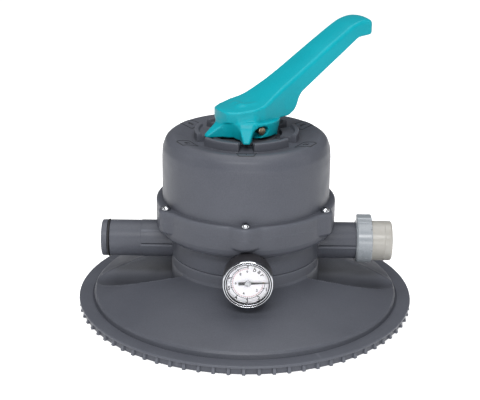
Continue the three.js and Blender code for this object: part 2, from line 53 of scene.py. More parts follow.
# ---- shared places, in millimetres and degrees ----
PORT_Z = 66.0             # height of the ports' axes
PORT_DIRECTIONS = [0, 90, 180]
GAUGE_X = 2.9             # the gauge stands a little right of the valve axis
PIN_Z = 192.0             # height of the handle's pin
LEVER_AZIMUTH = 30
COLLAR_R = 92.5
SPLIT_Z = 103.2           # where the lid sits on the body
FLANGE_TOP = 115.1
LOBE_AT = [-90 + 60 * k for k in range(6)]
LOBE_R = 12.0
LOBE_TIP = 99.0
LOBE_FILLET = 5.0
LOBE_FOOT = 90.4          # a lobe grows out of the collar from this height
LOBE_FULL = 95.4          # to its full size at this one
SCREW_CIRCLE = 91.5
O_RING_R = 18.75
O_RING_THICK = 1.05       # radius of its cord
O_RING_AT = 142.5         # along the port

# ---- camera, lights and floor ----
CAMERA_PLACE = (0.0, -1115.9, 521.5)    # mm
CAMERA_PITCH = 20.27                    # degrees down
CAMERA_YAW = -0.31
CAMERA_ROLL = 0.59
CAMERA_LENS = 85.93                     # mm, on a 36 mm sensor


def make_camera():
    pitch, yaw, roll = (math.radians(a) for a in (CAMERA_PITCH, CAMERA_YAW, CAMERA_ROLL))
    ahead = Vector((math.sin(yaw) * math.cos(pitch), math.cos(yaw) * math.cos(pitch), -math.sin(pitch)))
    right = Vector((math.cos(yaw), -math.sin(yaw), 0))
    up = right.cross(ahead)
    across = right * math.cos(roll) + up * math.sin(roll)
    upward = up * math.cos(roll) - right * math.sin(roll)
    data = bpy.data.cameras.new("camera")
    data.lens = CAMERA_LENS
    data.sensor_width = 36
    data.clip_start, data.clip_end = 0.05, 50
    camera = bpy.data.objects.new("camera", data)
    turn = Matrix((across, upward, -ahead)).transposed().to_4x4()
    camera.matrix_world = Matrix.Translation(Vector(CAMERA_PLACE) * MM) @ turn
    bpy.context.scene.collection.objects.link(camera)
    bpy.context.scene.camera = camera


def area_light(name, place, target, size, power):
    data = bpy.data.lights.new(name, "AREA")
    data.shape = "RECTANGLE"
    data.size, data.size_y = size
    data.energy = power
    lamp = bpy.data.objects.new(name, data)
    lamp.location = place
    lamp.rotation_mode = "QUATERNION"
    lamp.rotation_quaternion = (Vector(target) - Vector(place)).to_track_quat("-Z", "Y")
    bpy.context.scene.collection.objects.link(lamp)


def make_studio():
    world = bpy.data.worlds.new("studio")
    world.use_nodes = True
    backdrop = world.node_tree.nodes["Background"]
    backdrop.inputs["Color"].default_value = (1.0, 1.0, 1.0, 1.0)
    backdrop.inputs["Strength"].default_value = 0.16
    bpy.context.scene.world = world
    middle = (0, 0, 0.12)
    area_light("key_strip", (-0.15, -1.5, 1.5), middle, (1.5, 0.22), 34)
    area_light("low_strip", (0.1, -1.9, 0.36), middle, (1.3, 0.14), 12)
    area_light("overhead", (0.0, 0.1, 2.0), middle, (1.8, 1.8), 38)
    area_light("left_fill", (-1.8, -0.2, 0.9), middle, (0.5, 1.2), 5)
    area_light("right_fill", (1.8, -0.2, 0.9), middle, (0.5, 1.2), 5)


def make_floor():
    side = 6.0
    mesh = bpy.data.meshes.new("floor")
    corners = [(-side, -side, 0), (side, -side, 0), (side, side, 0), (-side, side, 0)]
    mesh.from_pydata(corners, [], [(0, 1, 2, 3)])
    floor = bpy.data.objects.new("floor", mesh)
    bpy.context.scene.collection.objects.link(floor)
    floor.location.z = -0.0006
    mesh.materials.append(floor_paint())


# ---- materials ----
def srgb(red, green, blue):
    """Linear colour of an 8-bit display colour."""
    def linear(v):
        v /= 255
        return v / 12.92 if v <= 0.04045 else ((v + 0.055) / 1.055) ** 2.4
    return (linear(red), linear(green), linear(blue), 1.0)


class Paint:
    """A node material built up a step at a time around one Principled shader."""

    def __init__(self, name, **sockets):
        self.material = bpy.data.materials.new(name)
        self.material.use_nodes = True
        self.tree = self.material.node_tree
        self.shader = self.tree.nodes["Principled BSDF"]
        self.place = self.tree.nodes.new("ShaderNodeTexCoord").outputs["Object"]
        for socket, value in sockets.items():
            self.shader.inputs[socket.replace("_", " ")].default_value = value

    def node(self, kind, inputs=(), **settings):
        made = self.tree.nodes.new(kind)
        for key, value in settings.items():
            setattr(made, key, value)
        for key, value in dict(inputs).items():
            if isinstance(value, bpy.types.NodeSocket):
                self.tree.links.new(value, made.inputs[key])
            else:
                made.inputs[key].default_value = value
        return made

    def math(self, operation, first, second=0.0):
        return self.node("ShaderNodeMath", {0: first, 1: second}, operation=operation).outputs[0]

    def noise(self, scale, detail=3.0, roughness=0.55, stretch=None):
        place = self.place
        if stretch:
            place = self.node("ShaderNodeMapping", {"Vector": place, "Scale": stretch}).outputs[0]
        found = self.node("ShaderNodeTexNoise", {
            "Vector": place, "Scale": scale, "Detail": detail, "Roughness": roughness})
        return found.outputs["Fac"]

    def spread(self, value, low, high, out_low=0.0, out_high=1.0):
        found = self.node("ShaderNodeMapRange", {
            "Value": value, "From Min": low, "From Max": high, "To Min": out_low, "To Max": out_high})
        return found.outputs["Result"]

    def mix(self, share, first, second):
        found = self.node("ShaderNodeMix", data_type="RGBA")
        for index, value in ((0, share), (6, first), (7, second)):
            if isinstance(value, bpy.types.NodeSocket):
                self.tree.links.new(value, found.inputs[index])
            else:
                found.inputs[index].default_value = value
        return found.outputs[2]

    def edges(self):
        """1 along convex edges, 0 on flats."""
        return self.spread(self.node("ShaderNodeNewGeometry").outputs["Pointiness"], 0.5, 0.58)

    def colour(self, output):
        self.tree.links.new(output, self.shader.inputs["Base Color"])
        return self

    def roughness(self, output):
        self.tree.links.new(output, self.shader.inputs["Roughness"])
        return self

    def bump(self, height, strength=0.2, distance=0.0003):
        found = self.node("ShaderNodeBump", {"Height": height, "Strength": strength, "Distance": distance})
        self.tree.links.new(found.outputs[0], self.shader.inputs["Normal"])
        return self


def floor_paint():
    paint = Paint(
        "floor_paint", Roughness=0.9, Emission_Color=(1.0, 1.0, 1.0, 1.0), Emission_Strength=0.5)
    tone = paint.spread(paint.noise(3.0), 0.3, 0.7)
    paint.colour(paint.mix(tone, srgb(246, 246, 247), srgb(250, 250, 251)))
    return paint.material


def moulded(name, base, light, dark, rough, grain=0.08, specular=0.4, wear=0.3):
    """Moulded plastic: faint flow marks, fine grain, a little paler along rubbed edges."""
    paint = Paint(name, Specular_IOR_Level=specular)
    cloud = paint.spread(paint.noise(16.0, 4.0), 0.3, 0.7)
    speck = paint.spread(paint.noise(900.0, 2.0), 0.35, 0.65)
    tone = paint.mix(cloud, dark, base)
    tone = paint.mix(paint.math("MULTIPLY", speck, 0.1), tone, light)
    tone = paint.mix(paint.math("MULTIPLY", paint.edges(), wear), tone, light)
    paint.colour(tone)
    paint.roughness(paint.spread(paint.noise(60.0, 3.0), 0.3, 0.7, rough - 0.05, rough + 0.06))
    paint.bump(paint.noise(1400.0, 2.0), grain, 0.0003)
    return paint.material


def metal(name, base, dark, rough, scale=300.0, tarnish=0.3):
    """Bare or plated metal with fine tool marks and a little tarnish."""
    paint = Paint(name, Metallic=1.0)
    stain = paint.math("MULTIPLY", paint.spread(paint.noise(70.0, 4.0), 0.45, 0.75), tarnish)
    paint.colour(paint.mix(stain, base, dark))
    marks = paint.noise(scale)
    paint.roughness(paint.spread(marks, 0.3, 0.7, rough * 0.8, rough * 1.3))
    paint.bump(marks, 0.08, 0.0001)
    return paint.material


def rubber_paint():
    paint = Paint("rubber", Specular_IOR_Level=0.3)
    dust = paint.spread(paint.noise(220.0, 4.0), 0.55, 0.8)
    paint.colour(paint.mix(dust, srgb(24, 24, 26), srgb(48, 48, 50)))
    paint.roughness(paint.spread(paint.noise(90.0), 0.3, 0.7, 0.45, 0.7))
    paint.bump(paint.noise(1800.0, 2.0), 0.15, 0.0002)
    return paint.material


def sight_glass_paint():
    """Milky moulded plastic that lets some light through."""
    paint = Paint(
        "sight_glass_plastic", Subsurface_Weight=0.15, Subsurface_Scale=0.006,
        Subsurface_Radius=(1.0, 0.95, 0.85), Specular_IOR_Level=0.4)
    cloud = paint.spread(paint.noise(55.0, 4.0, stretch=(0.6, 1.0, 1.0)), 0.3, 0.7)
    paint.colour(paint.mix(cloud, srgb(136, 134, 129), srgb(148, 146, 141)))
    paint.roughness(paint.spread(paint.noise(200.0), 0.3, 0.7, 0.28, 0.4))
    paint.bump(paint.noise(700.0, 2.0), 0.06, 0.0002)
    return paint.material


def lens_paint():
    paint = Paint("clear_lens", IOR=1.3, Transmission_Weight=1.0)
    haze = paint.spread(paint.noise(40.0, 3.0), 0.3, 0.7)
    paint.colour(paint.mix(haze, srgb(250, 250, 252), srgb(255, 255, 255)))
    paint.roughness(paint.spread(paint.noise(150.0), 0.3, 0.7, 0.0, 0.03))
    return paint.material


GREY = moulded("grey_plastic", srgb(67, 69, 76), srgb(104, 107, 115), srgb(61, 63, 70), 0.4, specular=0.18)
TEAL = moulded(
    "handle_plastic", srgb(2, 132, 144), srgb(40, 176, 186), srgb(0, 124, 136), 0.34, 0.05, 0.14, 0.12)
NUT = moulded("nut_plastic", srgb(124, 129, 134), srgb(170, 175, 179), srgb(116, 121, 126), 0.26, 0.05)
DARK = moulded("rotor_plastic", srgb(42, 44, 48), srgb(80, 82, 86), srgb(36, 38, 42), 0.5)
NYLON = moulded("nylon", srgb(66, 67, 72), srgb(90, 91, 96), srgb(60, 61, 66), 0.45, 0.1)
BLACK = moulded("black_paint", srgb(30, 29, 32), srgb(60, 60, 64), srgb(26, 25, 28), 0.4, 0.15)
DIAL = moulded(
    "dial_paint", srgb(246, 245, 248), srgb(252, 252, 254), srgb(242, 241, 245), 0.5, 0.03, wear=0.0)
INK = moulded("dial_ink", srgb(26, 27, 30), srgb(50, 50, 54), srgb(20, 21, 24), 0.6, 0.05, wear=0.0)
RED_INK = moulded(
    "dial_red_ink", srgb(196, 138, 138), srgb(214, 160, 160), srgb(186, 126, 126), 0.6, 0.05, wear=0.0)
TAN_INK = moulded(
    "dial_tan_ink", srgb(176, 150, 112), srgb(196, 170, 132), srgb(166, 140, 102), 0.6, 0.05, wear=0.0)
LINE = moulded("label_shadow_plastic", srgb(24, 25, 28), srgb(40, 42, 46), srgb(20, 21, 24), 0.6)
CHROME = metal("chrome", srgb(176, 178, 182), srgb(110, 112, 116), 0.12, scale=500.0, tarnish=0.25)
STEEL = metal("steel", srgb(176, 177, 179), srgb(120, 120, 122), 0.3)
PIN_METAL = metal("pin_metal", srgb(140, 128, 108), srgb(84, 72, 56), 0.3, tarnish=0.6)
BRASS = metal("brass", srgb(186, 166, 124), srgb(120, 100, 66), 0.28)
RUBBER = rubber_paint()
SIGHT = sight_glass_paint()
LENS = lens_paint()


# ---- mesh tools, all in millimetres ----
def build(name, points, faces, material, body, replaces=(), sharp=32.0, weld=0.002):
    """A welded mesh object riding on a body. Edges sharper than `sharp` degrees stay crisp."""
    mesh = bpy.data.meshes.new(name)
    mesh.from_pydata((np.asarray(points, float) * MM).tolist(), [], faces)
    work = bmesh.new()
    work.from_mesh(mesh)
    bmesh.ops.remove_doubles(work, verts=work.verts, dist=weld * MM)
    bmesh.ops.dissolve_degenerate(work, edges=work.edges, dist=weld * MM / 4)
    bmesh.ops.recalc_face_normals(work, faces=work.faces)
    work.to_mesh(mesh)
    work.free()
    mesh.materials.append(material)
    made = bpy.data.objects.new(name, mesh)
    bpy.context.scene.collection.objects.link(made)
    shade(made, sharp)
    if body:
        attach(made, body)
    if replaces:
        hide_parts(*replaces)
    return made


def shade(made, sharp):
    for polygon in made.data.polygons:
        polygon.use_smooth = True
    made.data.set_sharp_from_angle(angle=math.radians(sharp))


def rounded(profile, steps=4, closed=True):
    """Points (a, b) or (a, b, radius); a corner with a radius becomes an arc."""
    found = []
    count = len(profile)
    for i, corner in enumerate(profile):
        here = np.array(corner[:2], float)
        if len(corner) < 3 or (not closed and i in (0, count - 1)):
            found.append(here)
            continue
        back = np.array(profile[i - 1][:2], float) - here
        ahead = np.array(profile[(i + 1) % count][:2], float) - here
        long_back, long_ahead = np.hypot(*back), np.hypot(*ahead)
        back, ahead = back / long_back, ahead / long_ahead
        half = math.acos(float(np.clip(back @ ahead, -1, 1))) / 2
        reach = min(corner[2] / math.tan(half), 0.48 * long_back, 0.48 * long_ahead)
        middle = (back + ahead) / np.hypot(*(back + ahead))
        centre = here + middle * reach / math.cos(half)
        first, last = here + back * reach - centre, here + ahead * reach - centre
        sweep = math.atan2(first[0] * last[1] - first[1] * last[0], first @ last)
        for k in range(steps + 1):
            angle = sweep * k / steps
            found.append(centre + np.array([
                first[0] * math.cos(angle) - first[1] * math.sin(angle),
                first[0] * math.sin(angle) + first[1] * math.cos(angle)]))
    return np.array(found)


def denser(profile, step, low, high, closed=True):
    """Splits the stretches of a profile that lie between two heights into steps."""
    points = [tuple(p) for p in profile]
    if closed:
        points.append(points[0])
    found = []
    for a, b in zip(points, points[1:]):
        a, b = np.array(a), np.array(b)
        inside = max(a[1], b[1]) > low and min(a[1], b[1]) < high
        parts = max(1, int(math.ceil(np.hypot(*(b - a)) / step))) if inside else 1
        found += [a + (b - a) * k / parts for k in range(parts)]
    if not closed:
        found.append(np.array(points[-1]))
    return np.array(found)


def polar(rows, angles):
    """A solid round the axis. rows(angle) gives (radius, height) points, always the same count.

    They are a closed loop, or a line from axis to axis.
    """
    grid = np.array([rows(a) for a in angles])
    radius, height = grid[..., 0], grid[..., 1]
    turn = np.asarray(angles)[:, None]
    points = np.stack([radius * np.cos(turn), radius * np.sin(turn), height], -1).reshape(-1, 3)
    around, along = radius.shape
    last = along if grid[0, 0, 0] > 1e-6 else along - 1
    faces = []
    for a in range(around):
        b = (a + 1) % around
        faces += [(a * along + k, a * along + (k + 1) % along, b * along + (k + 1) % along, b * along + k)
                  for k in range(last)]
    return points, faces


def lathe(profile, segments=96):
    return polar(lambda angle: profile, np.arange(segments) * 2 * math.pi / segments)


def spun(points, degrees):
    c, s = math.cos(math.radians(degrees)), math.sin(math.radians(degrees))
    x, y, z = np.asarray(points).T
    return np.stack([x * c - y * s, x * s + y * c, z], -1)


def along_x(points):
    """Lays a piece built along +Z down along +X, at the height of the ports."""
    x, y, z = np.asarray(points).T
    return np.stack([z, x, y + PORT_Z], -1)


def along_front(points):
    """Lays a piece built along +Z down towards -Y; its own Y stays upright."""
    x, y, z = np.asarray(points).T
    return np.stack([x + GAUGE_X, -z, y + PORT_Z], -1)


def joined(*parts):
    """Several (points, faces) as one."""
    points, faces, start = [], [], 0
    for place, corners in parts:
        points.append(np.asarray(place))
        faces += [tuple(v + start for v in face) for face in corners]
        start += len(place)
    return np.concatenate(points), faces


def combine(target, operation, *parts, sharp=32.0):
    """Cuts from or adds to an object, one (points, faces) solid at a time."""
    for points, faces in parts:
        tool = build("tool", points, faces, target.data.materials[0], None)
        change = target.modifiers.new("boolean", "BOOLEAN")
        change.operation = operation
        change.solver = "MANIFOLD"
        change.object = tool
        shape = bpy.context.evaluated_depsgraph_get()
        mesh = bpy.data.meshes.new_from_object(target.evaluated_get(shape))
        target.modifiers.clear()
        old = target.data
        target.data = mesh
        bpy.data.meshes.remove(old)
        bpy.data.objects.remove(tool)
    shade(target, sharp)
    return target


def box(x0, x1, y0, y1, z0, z1):
    points = [(x, y, z) for x in (x0, x1) for y in (y0, y1) for z in (z0, z1)]
    faces = [(0, 1, 3, 2), (4, 6, 7, 5), (0, 4, 5, 1), (2, 3, 7, 6), (0, 2, 6, 4), (1, 5, 7, 3)]
    return np.array(points, float), faces


def prism(outline, low, high, edge=0.0):
    """A flat outline raised from low to high, with its top edge drawn in by `edge`."""
    outline = np.asarray(outline, float)
    count = len(outline)
    levels = [(low, 0.0), (high - edge, 0.0)] + ([(high, edge)] if edge else [])
    inward = np.zeros_like(outline)
    for i in range(count):
        before = outline[i] - outline[i - 1]
        after = outline[(i + 1) % count] - outline[i]
        normal = np.array([-before[1], before[0]]) / (np.hypot(*before) + 1e-9)
        normal += np.array([-after[1], after[0]]) / (np.hypot(*after) + 1e-9)
        inward[i] = normal / (np.hypot(*normal) + 1e-9)
    rows = [np.column_stack([outline + inward * inset, np.full(count, z)]) for z, inset in levels]
    faces = [tuple(reversed(range(count)))]
    for k in range(len(rows) - 1):
        a, b = k * count, (k + 1) * count
        faces += [(a + i, a + (i + 1) % count, b + (i + 1) % count, b + i) for i in range(count)]
    faces.append(tuple(range((len(rows) - 1) * count, len(rows) * count)))
    return np.concatenate(rows), faces


# ---- rounded solids from distances ----
def union(a, b, radius):
    """The nearer of two solids, with a fillet where they meet."""
    inner = np.hypot(np.maximum(radius - a, 0), np.maximum(radius - b, 0))
    return np.maximum(radius, np.minimum(a, b)) - inner


def both(a, b, radius):
    """What two solids share, with its edge rounded."""
    outer = np.hypot(np.maximum(radius + a, 0), np.maximum(radius + b, 0))
    return np.minimum(-radius, np.maximum(a, b)) + outer


def without(a, b, radius):
    return both(a, -b, radius)


def polygon_distance(u, v, corners):
    """Signed distance from a closed outline, negative inside."""
    nearest = None
    inside = None
    count = len(corners)
    for i in range(count):
        (ax, ay), (bx, by) = corners[i], corners[(i + 1) % count]
        ex, ey = bx - ax, by - ay
        share = np.clip(((u - ax) * ex + (v - ay) * ey) / (ex * ex + ey * ey), 0, 1)
        d = (u - ax - ex * share) ** 2 + (v - ay - ey * share) ** 2
        nearest = d if nearest is None else np.minimum(nearest, d)
        crosses = ((ay > v) != (by > v)) & (u < (bx - ax) * (v - ay) / ((by - ay) or 1e-12) + ax)
        inside = crosses if inside is None else inside ^ crosses
    return np.where(inside, -1.0, 1.0) * np.sqrt(nearest)


def skin(distance, low, high, cell):
    """A closed quad mesh over the places where distance(x, y, z) is negative."""
    axes = [np.arange(a - cell, b + 2 * cell, cell) for a, b in zip(low, high)]
    x, y, z = np.meshgrid(*axes, indexing="ij", sparse=True)
    field = np.broadcast_to(distance(x, y, z), [len(a) for a in axes])
    inside = field < 0
    size = np.array(field.shape) - 1
    total = np.zeros(size, np.int8)
    for i in (0, 1):
        for j in (0, 1):
            for k in (0, 1):
                total += inside[i:i + size[0], j:j + size[1], k:k + size[2]]
    active = (total > 0) & (total < 8)
    cells = np.argwhere(active)
    place = np.zeros((len(cells), 3))
    count = np.zeros(len(cells))
    for axis in range(3):
        unit = np.eye(3, dtype=int)[axis]
        others = [np.eye(3, dtype=int)[a] for a in range(3) if a != axis]
        for p in (0, 1):
            for q in (0, 1):
                start = cells + p * others[0] + q * others[1]
                first = field[tuple(start.T)]
                second = field[tuple((start + unit).T)]
                crossing = (first < 0) != (second < 0)
                share = first[crossing] / (first[crossing] - second[crossing])
                place[crossing] += start[crossing] + share[:, None] * unit
                count[crossing] += 1
    corner = np.array([a[0] for a in axes])
    points = corner + cell * place / count[:, None]
    points = settled(distance, points, cell)
    index = np.full(size, -1)
    index[active] = np.arange(len(cells))
    faces = []
    for axis in range(3):
        unit = np.eye(3, dtype=int)[axis]
        u, v = [np.eye(3, dtype=int)[a] for a in range(3) if a != axis]
        here = inside[tuple(slice(0, n - d) for n, d in zip(inside.shape, unit))]
        there = inside[tuple(slice(d, n) for n, d in zip(inside.shape, unit))]
        edges = np.argwhere(here != there)
        edges = edges[np.all(edges >= u + v, axis=1)]
        quads = np.stack([index[tuple((edges - s).T)] for s in (0 * u, u, u + v, v)], -1)
        faces += quads.tolist()
    return points, faces


def settled(distance, points, cell):
    """Draws points onto the surface itself, in three small moves."""
    step = 0.2
    for _ in range(3):
        value = distance(*points.T)
        rises = [distance(*(points + d).T) - distance(*(points - d).T) for d in np.eye(3) * step]
        slope = np.stack(rises, -1) / (2 * step)
        length = np.maximum((slope ** 2).sum(1), 0.05)
        shift = np.clip(value / length, -0.5 * cell, 0.5 * cell)
        points = points - slope * shift[:, None]
    return points


def smooth_line(corners, blur, low, high):
    """A function through the corners, softened over about `blur` mm."""
    at = np.arange(low - 20, high + 20, 0.5)
    xs, ys = np.array(corners, float).T
    start = (ys[1] - ys[0]) / (xs[1] - xs[0])
    end = (ys[-1] - ys[-2]) / (xs[-1] - xs[-2])
    line = np.interp(at, xs, ys)
    line = np.where(at < xs[0], ys[0] + (at - xs[0]) * start, line)
    line = np.where(at > xs[-1], ys[-1] + (at - xs[-1]) * end, line)
    reach = np.arange(-12, 12.1, 0.5)
    weight = np.exp(-(reach / blur) ** 2)
    soft = np.convolve(np.pad(line, len(reach) // 2, mode="edge"), weight / weight.sum(), "valid")
    slope = np.gradient(soft, at)
    return lambda x: np.interp(x, at, soft), lambda x: 1 / np.sqrt(1 + np.interp(x, at, slope) ** 2)


# ---- lid and collar lobes ----
def sector_angles():
    """Angles round the valve axis, close together near the six lobes and ring gaps."""
    offsets = [*np.arange(-30, -12, 1.5), *np.arange(-12, 12.01, 0.4), *np.arange(13.5, 29, 1.5)]
    offsets += [-8.5, -8.3, 8.3, 8.5]
    offsets = sorted(set(round(float(o), 2) for o in offsets))
    return np.radians([middle + o for middle in LOBE_AT for o in offsets])


def off_lobe(angle):
    """Angle from the nearest lobe's middle, in radians."""
    return (angle + math.pi / 2 + math.pi / 6) % (math.pi / 3) - math.pi / 6


REACH_CACHE = {}
REACH_RADII = np.arange(86, 103, 0.02)


def lobe_reach(offset, grown):
    """Outer radius of the collar near a lobe that has grown by this share."""
    key = (round(abs(offset), 5), round(grown, 4))
    if key not in REACH_CACHE:
        tip = COLLAR_R + grown * (LOBE_TIP - COLLAR_R)
        radius = LOBE_R * (0.7 + 0.3 * grown)
        x, y = REACH_RADII * math.cos(offset), REACH_RADII * math.sin(offset)
        lobe = np.hypot(x - (tip - radius), y) - radius
        inside = union(REACH_RADII - COLLAR_R, lobe, LOBE_FILLET * grown + 0.01) < 0
        REACH_CACHE[key] = REACH_RADII[inside].max() if inside.any() else COLLAR_R
    return REACH_CACHE[key]


# ---- tank cover ----
TOOTH_COUNT = 76
TOOTH_DEPTH = 2.7
TOOTH_HALF = 0.14         # half a tooth at its root, as a share of the pitch
TOOTH_FLANK = 0.04
RECESS_R = 51.0
TROUGH_R = 55.0
SADDLE_R = 19.4


def across_port(radius, angle, tube):
    """Height of the underside of a level tube of this radius at a place, or None off the tube."""
    lowest = None
    for azimuth in PORT_DIRECTIONS:
        turn = angle - math.radians(azimuth)
        if math.cos(turn) > 0 and abs(radius * math.sin(turn)) < tube:
            lowest = PORT_Z - math.sqrt(tube ** 2 - (radius * math.sin(turn)) ** 2)
    return lowest


def soft_min(a, b, radius):
    """The lower of two heights, blended where they are within `radius`."""
    share = max(radius - abs(a - b), 0) / radius
    return min(a, b) + share ** 2 * radius / 4


def tank_cover():
    outside = rounded([
        (172.3, 0, 0.4), (172.3, 6.5, 0.3), (175, 7.2, 0.5), (175, 9.5, 1.4), (161.2, 9.5, 0.8),
        (160.4, 8.5, 0.4), (159.7, 8.5, 0.3), (159, 13.2, 1.0), (157.2, 15.3, 1.2),
        (78.4, 42.4, 2.0), (77, 44.5, 1.0), (77, 55.4, 0.8), (72, 55.4, 0.6), (72, 37.7, 0.3),
        (58, 37.7, 0.5), (58, 32, 0.5), (92.7, 32, 3.0), (150, 12.4, 3.0), (150, 0, 0.5),
        (157.5, 0, 0.3), (157.5, 4.5, 0.3), (168.5, 4.5, 0.3), (168.5, 0, 0.3)], 3)
    outside = denser(outside, 2.2, 12, 50)
    wall = (outside[:, 0] > 171.9) & (outside[:, 1] < 6.6)
    above = (outside[:, 0] > 76.9) & (outside[:, 0] < 158) & (outside[:, 1] > 13)
    below = (outside[:, 0] > 71.9) & (outside[:, 0] < 150.1) & (outside[:, 1] > 8) & (outside[:, 1] < 33)
    cone = np.interp(outside[:, 0], [78.4, 157.2], [42.4, 15.3])
    above &= outside[:, 1] > cone - 1.2
    below &= ~above
    bore = (outside[:, 0] > 71.5) & (outside[:, 0] < 77.5) & (outside[:, 1] > 44)

    def rows(angle):
        found = outside.copy()
        pitch = 2 * math.pi / TOOTH_COUNT
        phase = abs((angle / pitch + 0.5) % 1 - 0.5)
        tooth = float(np.clip((TOOTH_HALF - phase) / TOOTH_FLANK, 0, 1))
        shoulder = np.clip((6.4 - found[:, 1]) / 0.5, 0, 1)
        found[wall, 0] += TOOTH_DEPTH * tooth * shoulder[wall]
        for i in np.flatnonzero(above | below | bore):
            radius, height = found[i]
            if below[i]:
                trough = across_port(radius, angle, TROUGH_R)
                if trough is not None:
                    found[i, 1] = soft_min(height, trough, 3.0)
                continue
            if bore[i]:
                saddle = across_port(radius, angle, SADDLE_R)
                if saddle is not None:
                    found[i, 1] = min(found[i, 1], saddle)
            elif radius > 77.3:
                recess = across_port(radius, angle, RECESS_R)
                if recess is not None:
                    found[i, 1] = soft_min(height, recess, 2.4)
        return found

    steps = [-0.5, -0.3, -0.145, -0.12, -0.095, 0.095, 0.12, 0.145, 0.3]
    angles = [(tooth + step) * 2 * math.pi / TOOTH_COUNT for tooth in range(TOOTH_COUNT) for step in steps]
    points, faces = polar(rows, angles)
    build("cover", points, faces, GREY, "valve", ["tank_cover"], 38)


# ---- valve body ----
PIPE_RIBS = [(-108, -76), (76, 114.4)]            # along X, on the front of the two side pipes
FOOT_WINDOWS = [(229, 281), (289, 311)]           # openings in the floor, in degrees
WEB_AZIMUTHS = [45, 135, 225, 285, 315]           # walls between the chambers


def valve_body():
    profile = rounded([
        (0, 38), (71.5, 38, 0.8), (71.5, 41, 0.3), (68.9, 41, 0.2), (68.9, 44, 0.2), (71.5, 44, 0.3),
        (71.5, 55.9, 0.2), (77.2, 55.9, 0.8), (77.2, 76.6, 1.0), (79.5, 78, 1.0), (84.5, 79.6, 3.0),
        (88.6, 82.2, 4.0), (91.4, 86, 4.0), (COLLAR_R, 90.5, 4.0), (COLLAR_R, SPLIT_Z, 0.02),
        (78.2, SPLIT_Z, 0.3), (78.2, 100.3), (74.2, 100.3), (74.2, SPLIT_Z, 0.3), (71, SPLIT_Z, 0.5),
        (71, 84, 0.4), (66, 84, 0.5), (66, 49.5, 1.0), (60, 49.5, 1.0), (60, 45, 1.5), (14, 45, 1.5),
        (14, 84, 0.6), (0, 84)], 3, closed=False)
    profile = denser(profile, 0.6, 90, 96, closed=False)
    outer = (profile[:, 0] > 86) & (profile[:, 1] > LOBE_FOOT)

    def rows(angle):
        found = profile.copy()
        offset = off_lobe(angle)
        for i in np.flatnonzero(outer):
            rise = min(1.0, (found[i, 1] - LOBE_FOOT) / (LOBE_FULL - LOBE_FOOT))
            grown = math.sqrt(max(0.0, 1 - (1 - rise) ** 2))
            found[i, 0] += lobe_reach(offset, grown) - COLLAR_R
        return found

    points, faces = polar(rows, sector_angles())
    body = build("body", points, faces, GREY, "valve", ["valve_body"])
    spigot = rounded([
        (0, 62), (19.35, 62), (19.35, 108.3, 0.2), (19, 108.6, 0.2), (19, 141, 0.3), (17.4, 141, 0.2),
        (17.4, 144, 0.2), (19, 144, 0.3), (19, 150, 1.6), (0, 150)], 4, closed=False)
    stub = rounded([(0, 62), (19, 62), (19, 121.9, 0.6), (0, 121.9)], 3, closed=False)
    parts = []
    for azimuth, pipe in ((180, spigot), (90, spigot), (0, stub)):
        points, faces = lathe(pipe, 72)
        parts.append((spun(along_x(points), azimuth), faces))
    boss, faces = lathe(rounded([
        (0, 60), (11.4, 60), (11.4, 76.6, 1.5), (10.5, 77.4, 0.6), (0, 77.4)], 3, closed=False), 64)
    parts.append((along_front(boss), faces))
    for x0, x1 in PIPE_RIBS:
        parts.append(box(x0, x1, -20.1, -15, 64.4, 66.7))
    combine(body, "UNION", *parts)
    cuts = []
    bore = lathe(rounded([(0, 55), (16, 55), (16, 149.4, 0.4), (17, 151), (0, 151)], 3, closed=False), 64)
    for azimuth in PORT_DIRECTIONS:
        cuts.append((spun(along_x(bore[0]), azimuth), bore[1]))
    socket = lathe([(0, 60), (6.3, 60), (6.3, 80), (0, 80)], 32)
    cuts.append((along_front(socket[0]), socket[1]))
    for x0, x1 in PIPE_RIBS:
        cuts.append(box(x0, x1, -22, -17.9, 66.7, 67.6))
    for start, end in FOOT_WINDOWS:
        turn = np.radians(np.linspace(start, end, 9))
        outline = [(52 * math.cos(a), 52 * math.sin(a)) for a in turn]
        outline += [(24 * math.cos(a), 24 * math.sin(a)) for a in turn[::-1]]
        cuts.append(prism(outline, 36, 50))
    combine(body, "DIFFERENCE", *cuts)
    webs = []
    for azimuth in WEB_AZIMUTHS:
        points, faces = box(12.5, 66.5, -2.5, 2.5, 44, 84)
        webs.append((spun(points, azimuth), faces))
    combine(body, "UNION", *webs)


def o_ring(name, node, azimuth):
    around = np.linspace(0, 2 * math.pi, 17)[:-1]
    radius = O_RING_R + O_RING_THICK * np.cos(around)
    points, faces = lathe(np.column_stack([radius, O_RING_AT + O_RING_THICK * np.sin(around)]))
    build(name, spun(along_x(points), azimuth), faces, RUBBER, "valve", [node], 60)


# ---- lid ----
LID_FLOOR = 178.0         # the face that the index ring stands on
RING_HALF_GAP = math.radians(8.3)
RING_GAP_FLANK = math.radians(0.25)
LABEL_SUNK = 0.15
LID_RIM = []              # radius and height along the top of the rim, once the lid is made


